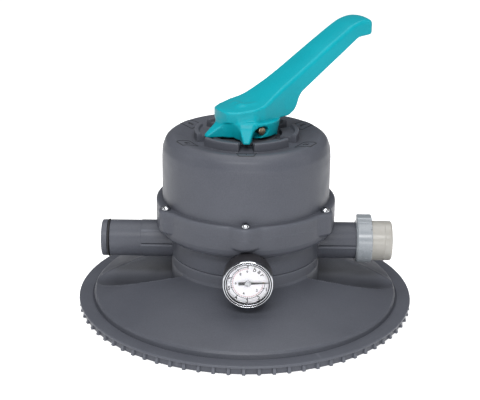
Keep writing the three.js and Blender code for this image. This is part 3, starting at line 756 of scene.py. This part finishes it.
def lid():
    profile = rounded([
        (81.2, 103.27, 0.4), (COLLAR_R, 103.27, 0.02), (COLLAR_R, FLANGE_TOP, 2.4), (86.1, FLANGE_TOP, 0.35),
        (86, 160, 20), (85.4, 169, 14), (82, 178.4, 9), (75.2, 182.7, 7), (67.5, 181.3, 6),
        (55, LID_FLOOR, 1.5), (53.5, LID_FLOOR, 0.8), (53.1, 187, 1.2), (49.0, 186.7, 1.0),
        (47.8, 183.8, 0.8), (36, 183.4, 0.8), (36, LID_FLOOR, 0.8), (13.3, LID_FLOOR, 0.5),
        (13.3, 168, 0.4), (20.5, 168, 1), (23, 172.8, 1), (56, 173.8, 4), (70.6, 177.4, 3),
        (74, 176.4, 3), (79.4, 170, 4), (81.2, 160, 4)], 4)
    profile = denser(profile, 3.0, 110, 180)
    side = (profile[:, 0] > 86.3) & (profile[:, 1] < FLANGE_TOP + 0.1)
    top = (profile[:, 0] > 35) & (profile[:, 0] < 54) & (profile[:, 1] > 177.9)

    def rows(angle):
        found = profile.copy()
        offset = off_lobe(angle)
        share = np.clip((found[side, 0] - 86.1) / 1.4, 0, 1)
        found[side, 0] += share * (lobe_reach(offset, 1.0) - COLLAR_R)
        stands = float(np.clip((abs(offset) - RING_HALF_GAP) / RING_GAP_FLANK, 0, 1))
        found[top, 1] = LID_FLOOR + (found[top, 1] - LID_FLOOR) * stands
        return found

    rim = profile[(profile[:, 0] > 54) & (profile[:, 0] < 84) & (profile[:, 1] > 177.8)]
    LID_RIM.extend(sorted(map(tuple, rim)))
    points, faces = polar(rows, sector_angles())
    build("lid_shell", points, faces, GREY, "valve", ["lid"])


def on_lid(points, azimuth):
    """Lays a flat piece, drawn with +Y outwards, on the sloping rim of the lid."""
    x, y, z = np.asarray(points).T
    radius = np.hypot(x, y)
    slope = np.interp(radius, *np.transpose(LID_RIM))
    return spun(np.stack([x, y, slope + z], -1), azimuth - 90)


def glyph(text, size, thick, turn, place):
    """(points, faces) of a character lying flat, centred on a place."""
    curve = bpy.data.curves.new("glyph", "FONT")
    curve.body = text
    curve.size = size
    curve.align_x, curve.align_y = "CENTER", "CENTER"
    curve.extrude = thick / 2
    curve.offset = 0.02 * size
    curve.resolution_u = 3
    holder = bpy.data.objects.new("glyph", curve)
    bpy.context.scene.collection.objects.link(holder)
    shape = bpy.context.evaluated_depsgraph_get()
    mesh = bpy.data.meshes.new_from_object(holder.evaluated_get(shape))
    points = np.array([v.co for v in mesh.vertices], float).reshape(-1, 3)
    faces = [tuple(p.vertices) for p in mesh.polygons]
    bpy.data.objects.remove(holder)
    bpy.data.curves.remove(curve)
    bpy.data.meshes.remove(mesh)
    points[:, :2] -= (points[:, :2].min(0) + points[:, :2].max(0)) / 2
    points[:, 2] += thick / 2
    points = spun(points, turn)
    return points + np.array([place[0], place[1], 0.0]), faces


def outline_ring(corners, width, thick):
    """A raised line round a rounded outline, with points close enough to follow a curved face."""
    outer = rounded([(x, y, 2.0) for x, y in corners], 4)
    edges = list(zip(outer, np.roll(outer, -1, axis=0)))
    steps = [max(1, round(math.dist(a, b) / 1.2)) for a, b in edges]
    outer = np.concatenate([np.linspace(a, b, n, endpoint=False) for (a, b), n in zip(edges, steps)])
    middle = outer.mean(0)
    inner = middle + (outer - middle) * (1 - width / np.hypot(*(outer - middle).T).mean())
    count = len(outer)
    rows = [(outer, 0.0), (outer, thick), (inner, thick), (inner, 0.0)]
    points = np.concatenate([np.column_stack([line, np.full(count, z)]) for line, z in rows])
    faces = []
    for k in range(4):
        a, b = k * count, (k + 1) % 4 * count
        faces += [(a + i, a + (i + 1) % count, b + (i + 1) % count, b + i) for i in range(count)]
    return points, faces


def label_pads():
    corners = [(-10.6, 59.6), (10.6, 59.6), (8.0, 76.4), (-8.0, 76.4)]
    for number, azimuth in enumerate(LOBE_AT, 1):
        mark = glyph(str(number), 8.0, 0.5, 180, (0, 67.6))
        ring = outline_ring(corners, 1.1, 0.4)
        points, faces = joined(mark, ring)
        sunk = on_lid(points - np.array([0, 0, LABEL_SUNK]), azimuth)
        build(f"label_{number}", sunk, faces, LINE, "valve", weld=0.0005)


def screws():
    head = rounded([
        (0, 95), (2.2, 95, 0.3), (2.7, 96, 0.3), (2.7, 115.3), (4.5, 115.3, 0.3), (4.5, 116.6, 1.0),
        (3.6, 118.2, 1.6), (1.6, 119.1, 1.5), (0, 119.2)], 4, closed=False)
    for number, azimuth in enumerate(LOBE_AT, 1):
        points, faces = lathe(head, 40)
        screw = build(f"cover_screw_{number}", points, faces, CHROME, None)
        slots = [box(-2.2, 2.2, -0.45, 0.45, 118.0, 121), box(-0.45, 0.45, -2.2, 2.2, 118.0, 121)]
        combine(screw, "DIFFERENCE", *[(spun(p, 20 + 37 * number), f) for p, f in slots], sharp=40)
        turn = Matrix.Rotation(math.radians(azimuth), 4, "Z")
        screw.data.transform(turn @ Matrix.Translation((SCREW_CIRCLE * MM, 0, 0)))
        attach(screw, "valve")
        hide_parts(f"lid_screw_{number}")


# ---- sight glass union ----
NUT_R = 23.2
PIT_ELEVATIONS = [50, -6, -62, 118, 174, 230]     # small round pits in both ends of the nut


def union_nut():
    def distance(x, y, z):
        height = z - PORT_Z
        radius = np.hypot(y, height)
        rim = both(radius - NUT_R, np.maximum(115 - x, x - 131.5), 0.6)
        chamfer = (radius - NUT_R - (x - 117.0)) * 0.707
        rim = both(rim, chamfer, 0.4)
        lug = both(np.abs(y) - 6.5, np.abs(x - 123.4) - 7.9, 1.6)
        lug = both(lug, height - 27.4, 1.4)
        lug = both(lug, 18 - height, 0.5)
        solid = union(rim, lug, 1.0)
        inner = np.minimum(radius - 19.35, np.maximum(radius - 21.25, 118.4 - x))
        solid = both(solid, -inner, 0.4)
        for elevation in PIT_ELEVATIONS:
            turn = math.radians(elevation)
            py, pz = -23.3 * math.cos(turn), 23.3 * math.sin(turn)
            pit = np.hypot(y - py, height - pz) - 1.25
            ends = np.minimum(np.abs(x - 115.8), np.abs(x - 131.2)) - 1.3
            solid = both(solid, -both(pit, ends, 0.3), 0.2)
        return solid

    points, faces = skin(distance, (114.6, -24, 42), (131.9, 24, 94), 0.5)
    build("nut", points, faces, NUT, "union_nut", ["union_nut"], 70)


def sight_glass():
    points, faces = lathe(rounded([
        (16, 122.5), (17.8, 122.5), (17.8, 124.3, 0.2), (20.2, 124.3, 0.2), (20.2, 122.5),
        (20.9, 122.5, 0.3),
        (20.9, 144.2, 0.8), (21.15, 144.8, 0.4), (20.75, 145.5, 0.5), (20.75, 152.8, 2.2), (16.6, 152.8, 0.8),
        (16, 152.0, 0.4)], 5), 128)
    build("sight_tube", along_x(points), faces, SIGHT, "valve", ["sight_glass"], 40)
    points, faces = lathe(rounded([
        (19.3, 118.7, 0.3), (20.9, 118.7, 0.5), (20.9, 121.9, 0.5), (19.3, 121.9, 0.3)], 3), 96)
    build("collar_ring", along_x(points), faces, GREY, "valve", ["union_collar"], 40)


# ---- selector ----
SPRING_TURNS = 6
SPRING_R = 18.0
WIRE_R = 1.75


def spring():
    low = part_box("rotor_spring")[0].z / MM
    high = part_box("rotor_spring")[1].z / MM
    steps, sides = 36 * SPRING_TURNS, 12
    upward = np.array([0, 0, 1.0])
    points = []
    for i in range(steps + 1):
        turn = 2 * math.pi * SPRING_TURNS * i / steps
        height = low + WIRE_R + (high - low - 2 * WIRE_R) * i / steps
        outward = np.array([math.cos(turn), math.sin(turn), 0])
        for k in range(sides):
            a = 2 * math.pi * k / sides
            centre = outward * SPRING_R + np.array([0, 0, height])
            points.append(centre + WIRE_R * 0.98 * (outward * math.cos(a) + upward * math.sin(a)))
    faces = []
    for i in range(steps):
        a, b = i * sides, (i + 1) * sides
        faces += [(a + k, a + (k + 1) % sides, b + (k + 1) % sides, b + k) for k in range(sides)]
    faces += [tuple(range(sides)), tuple(range(steps * sides, (steps + 1) * sides))]
    coil = build("coil_spring", points, faces, STEEL, "selector", ["rotor_spring"], 60)
    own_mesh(coil)


def pin():
    line = rounded([(0, -31), (4, -31, 0.8), (4, 31, 0.8), (0, 31)], 4, closed=False)
    points, faces = lathe(line, 40)
    x, y, z = np.asarray(points).T
    points = spun(np.stack([x, z, y + PIN_Z], -1), LEVER_AZIMUTH)
    build("hinge_pin", points, faces, PIN_METAL, "rotor", ["handle_pin"], 40)


def washer():
    points, faces = lathe(rounded([
        (14, 178.3, 0.3), (30, 178.3, 0.4), (30, 181.0, 0.6), (14, 181.0, 0.4)], 3), 96)
    build("bearing_washer", points, faces, NYLON, "selector", ["thrust_washer"], 40)


# ---- handle, worked out with the lever along +X ----
LEVER_TOP = [
    (-36, 211.0), (-15, 213.0), (0, 215.4), (8, 218), (26, 229), (44, 240.3), (82, 265.7), (105, 280.5),
    (116, 287), (125, 289.8), (134, 290.6), (140, 289)]
LEVER_UNDERSIDE = [
    (-60, 199.5), (20, 199.6), (38, 200.5), (44.5, 205), (47.8, 209.8), (49.6, 217.4), (53.5, 223),
    (122.4, 271.8), (137, 273.2), (140, 274.4)]
LEVER_HALF = [
    (-34, 4), (-32.5, 9), (-30, 14.5), (-21, 21), (-6, 26), (0, 26), (8, 23), (20, 20), (32, 18),
    (50, 17), (82, 16), (105, 15.5), (140, 14)]
LEVER_END = 140.0
ARCH = [
    (6.8, 189.4), (7.6, 192.6), (6.0, 195.6), (2, 197.0), (-3.5, 196.6), (-8.5, 193.6), (-12.6, 188.6),
    (-15, 182), (-4.5, 182), (1.5, 187.0)]
ARCH_DEPTH = 17.0         # the window's inner wall, from the lever's middle
CHANNEL = [
    (56, 205), (56, 245), (82, 261.6), (104, 275.6), (115, 282), (124, 284.8), (131.5, 285.4), (131.5, 255)]
CHANNEL_WALL = 3.2
SKIRT_FOOT = 184.4
SKIRT_R = 29.4
PRONG_TURNS = [180, -120]
PRONG_REACH = 47.4
SLOT_HALF = 13.6          # half width of the slot for the rotor's head
HEEL = 24.5
HEEL_HEIGHT = 10.7
PRESS = math.radians(20)


def heel_outline():
    """What the cam heel clears, pressed or not, in the lever's own plane."""
    corners = [(-40, 140), (-40, PIN_Z - HEEL_HEIGHT), (HEEL, PIN_Z - HEEL_HEIGHT)]
    for i in range(1, 7):
        a = PRESS * i / 6
        height = HEEL_HEIGHT + HEEL * a
        corners.append((
            HEEL * math.cos(a) + height * math.sin(a),
            PIN_Z + HEEL * math.sin(a) - height * math.cos(a)))
    x, z = corners[-1]
    corners += [(x + 40, z + 40 * math.tan(PRESS)), (x + 40, 140)]
    return corners


def handle():
    top, top_share = smooth_line(LEVER_TOP, 4.0, -36, 140)
    under, under_share = smooth_line(LEVER_UNDERSIDE, 1.5, -60, 140)
    half, half_share = smooth_line(LEVER_HALF, 1.6, -34, 140)
    heel = heel_outline()

    def distance(s, t, z):
        width = half(s)
        beam_side = (np.abs(t) - width) * half_share(s)
        head_side = both(beam_side, -(s + 32.3), 2.5)
        lever_side = both(beam_side, 6 - s, 3.0)
        side = union(head_side, lever_side, 7.0) + np.clip(206 - z, 0, 8) * 0.06
        crown = 1.3 * (t / np.maximum(width, 6)) ** 2
        above = (z - top(s) + crown) * top_share(s)
        body = both(side, above, 1.6 + np.clip(s / 12, 0, 1) * 2.4)
        body = both(body, s - LEVER_END, 4.0)
        body = both(body, (under(s) - z) * under_share(s), 1.3)
        around = np.hypot(s - 2, t)
        skirt = (around - (SKIRT_R + (z - SKIRT_FOOT) * 3 / 16)) * 0.98
        skirt = both(skirt, SKIRT_FOOT - z, 1.2)
        skirt = both(skirt, z - 200.2, 1.6)
        body = union(body, skirt, 0.4)
        for turn in PRONG_TURNS:
            c, q = math.cos(math.radians(turn)), math.sin(math.radians(turn))
            out, aside = s * c + t * q, t * c - s * q
            thick = np.interp(out, [26, PRONG_REACH], [8.6, 3.2])
            fin = both((np.abs(aside) - thick) * 0.97, out - PRONG_REACH, 1.6)
            fin = both(fin, (z - 200.6 + (out - 27) * 0.68) * 0.827, 1.6)
            fin = both(fin, 184.2 - z, 1.0)
            fin = both(fin, 10 - out, 1.0)
            body = union(body, fin, 6.0)
        cam = both(np.abs(t) - 17, 15 - s, 1.0)
        cam = both(cam, around - SKIRT_R, 1.0)
        cam = both(cam, np.maximum(z - PIN_Z, 181.2 - z), 0.8)
        body = union(body, cam, 0.8)
        body = without(body, polygon_distance(s, z, heel), 0.4)
        slot = np.maximum(np.maximum(np.abs(t) - SLOT_HALF, np.abs(s - 0.2) - 17.8), z - 199.5)
        dome = np.maximum(np.hypot(s, z - PIN_Z) - 15.4, np.abs(t) - SLOT_HALF)
        body = without(body, np.minimum(slot, dome), 0.4)
        body = without(body, np.hypot(s, z - PIN_Z) - 4.35, 0.2)
        window = both(polygon_distance(s, z, ARCH), ARCH_DEPTH - np.abs(t), 1.0)
        body = without(body, window, 1.0)
        trough = both(polygon_distance(s, z, CHANNEL), np.abs(t) - width + CHANNEL_WALL, 1.5)
        return without(body, trough, 1.0)

    points, faces = skin(distance, (-51, -48, 180.4), (141, 48, 291), 0.8)
    points = spun(points, LEVER_AZIMUTH)
    build("lever_handle", points, faces, TEAL, "handle", ["handle"], 75)


# ---- gauge ----
FACE = 118.0
BACK = 94.0
SCALE_START = 20.0        # degrees clockwise from three o'clock
SCALE_STEP = 35.7
SCALE_ENDS = (2, 270)
SCALE_NUMBERS = 8
FINE_TICKS = 33
PRINT_LOW = 111.9
PRINT_HIGH = 112.12


def dial_point(radius, clockwise):
    """A place on the dial, by its angle clockwise from three o'clock."""
    a = math.radians(-clockwise)
    return radius * math.cos(a), radius * math.sin(a)


def dial_arc(inner, outer, start, end, high=PRINT_HIGH):
    turns = np.arange(start, end + 0.01, 3.0)
    outline = [dial_point(outer, a) for a in turns]
    outline += [dial_point(inner, a) for a in turns[::-1]]
    return prism(outline[::-1], PRINT_LOW, high)


def dial_tick(inner, outer, width, clockwise):
    points, faces = box(inner, outer, -width / 2, width / 2, PRINT_LOW, PRINT_HIGH)
    return spun(points, -clockwise), faces


def dial_mark(text, size, radius, clockwise, turn=0):
    """A character of the dial's print, centred on its place."""
    points, faces = glyph(text, size, 0.2, turn, dial_point(radius, clockwise))
    return points + np.array([0, 0, PRINT_LOW]), faces


def gauge():
    case = lathe(rounded([
        (6.5, BACK, 0.3), (23.2, BACK, 1.6), (24, BACK + 2, 1.0), (24, FACE - 4.9, 0.3), (22.4, FACE - 4.9),
        (22.4, BACK + 2), (6.5, BACK + 2)], 5), 96)
    build("gauge_can", along_front(case[0]), case[1], BLACK, "valve", ["gauge_case"])
    bezel = lathe(rounded([
        (21.6, FACE - 6.2, 0.2), (22.1, FACE - 6.2), (22.1, FACE - 4.6), (24.4, FACE - 4.6, 0.7),
        (24.4, FACE - 1.2, 0.7), (23.9, FACE, 0.6), (23.0, FACE, 0.4), (22.8, FACE - 1.4, 0.1),
        (22.1, FACE - 1.4, 0.1), (21.95, FACE - 0.5, 0.3), (21.2, FACE - 0.5, 0.3), (20.9, FACE - 1.5, 0.3),
        (20.9, FACE - 1.9, 0.1), (21.4, FACE - 1.9), (21.4, FACE - 2.6)], 4), 128)
    build("bezel", along_front(bezel[0]), bezel[1], CHROME, "valve", ["gauge_bezel"], 28)
    # The first ring is painted shade: a dark ring laid in the bezel's groove. The second is a dark ring round
    # the lens edge.
    for name, inner, outer, low, high in (
            ("bezel_groove_shade", 22.12, 22.8, FACE - 1.5, FACE - 0.9), ("lens_edge", 20.3, 21.0, 115.0, 116.9)):
        line = lathe(rounded([(inner, low), (outer, low), (outer, high, 0.1), (inner, high, 0.1)], 2), 96)
        build(name, along_front(line[0]), line[1], RUBBER, "valve")
    face = lathe(rounded([(1.8, 111.3, 0.1), (21.1, 111.3, 0.2), (21.1, 112, 0.2), (1.8, 112, 0.1)], 2), 96)
    build("dial_face", along_front(face[0]), face[1], DIAL, "valve", ["gauge_dial"])
    dark = [dial_arc(15.8, 16.25, *SCALE_ENDS)]
    for k in range(SCALE_NUMBERS):
        at = SCALE_START + SCALE_STEP * k
        dark.append(dial_tick(14.6, 17.0, 0.6, at))
        dark.append(dial_mark(str(k + 1), 5.2, 18.6, at))
        if k < SCALE_NUMBERS - 1:
            dark += [dial_tick(15.0, 16.2, 0.32, at + SCALE_STEP * j / 5) for j in range(1, 5)]
    for letter, radius, at in (("b", 15.0, -64), ("a", 15.2, -46), ("r", 15.3, -30)):
        dark.append(dial_mark(letter, 6.2, radius, at, -at - 90))
    for digit, at in (("2", 41), ("4", 110), ("6", 178), ("8", 232), ("9", 266)):
        dark.append(dial_mark(digit, 3.6, 11.4, at))
    points, faces = joined(*dark)
    build("dial_print", along_front(points), faces, INK, "valve", weld=0.0002)
    red = [dial_arc(14.3, 14.6, *SCALE_ENDS)]
    for k in range(FINE_TICKS):
        red.append(dial_tick(13.5, 14.6, 0.25, SCALE_START + 250 * k / (FINE_TICKS - 1)))
    points, faces = joined(*red)
    build("dial_red_print", along_front(points), faces, RED_INK, "valve", weld=0.0002)
    pointer = [
        (-8.9, -1.35), (-8.4, -1.5), (-3.2, -1.45), (0, -1.2), (15, -0.6), (20.3, -0.2), (20.6, 0),
        (20.3, 0.2), (15, 0.6), (0, 1.2), (-3.2, 1.45), (-8.4, 1.5), (-8.9, 1.35)]
    blade, faces = prism(pointer, 113.45, 114.0, 0.15)
    blade = along_front(spun(blade, 2.5))
    build("pointer", blade, faces, INK, "needle", ["gauge_needle"])
    hub = lathe(rounded([
        (1.1, 113.2, 0.1), (3.1, 113.2, 0.2), (3.1, 114.6, 0.4), (2.2, 114.9, 0.3), (1.9, 114.5, 0.2),
        (1.1, 114.5, 0.1)], 3), 48)
    build("pointer_hub", along_front(hub[0]), hub[1], STEEL, "needle")
    mark = dial_arc(13.6, 15.4, -3, 3, PRINT_HIGH + 0.02)
    build("dial_tan_print", along_front(mark[0]), mark[1], TAN_INK, "valve", weld=0.0002)
    lens = lathe(rounded([
        (0, 115.4), (20.9, 115.4, 0.2), (20.9, 116.1, 0.3), (0, 116.35)], 3, closed=False))
    build("lens", along_front(lens[0]), lens[1], LENS, "valve", ["gauge_lens"])


# ---- CAD nodes that stay, with their finishes ----
KEPT = {
    "tank_gasket": RUBBER, "body_seal": RUBBER, "body_screw_1": STEEL, "body_screw_2": STEEL,
    "body_screw_3": STEEL, "body_screw_4": STEEL, "spider_gasket": RUBBER, "sight_glass_seal": RUBBER,
    "lid_seal": RUBBER, "rotor": DARK, "lower_spring_washer": STEEL, "upper_spring_washer": STEEL,
    "shaft_seal_lower": RUBBER, "shaft_seal_upper": RUBBER, "gauge_seal": RUBBER, "gauge_socket": BRASS,
    "bourdon_tube": BRASS, "gauge_movement": BRASS, "sector_gear": BRASS, "pinion_spindle": STEEL,
}


def finish_nodes():
    for name, node in nodes.items():
        paint = KEPT.get(name)
        if paint is not None:
            node.data.materials.clear()
            node.data.materials.append(paint)
            shade(node, 30)


make_camera()
make_studio()
make_floor()
bpy.context.scene.view_settings.view_transform = "Standard"

tank_cover()
valve_body()
o_ring("left_o_ring", "left_port_o_ring", 180)
o_ring("back_o_ring", "back_port_o_ring", 90)
lid()
label_pads()
screws()
union_nut()
sight_glass()
spring()
pin()
washer()
handle()
gauge()
finish_nodes()
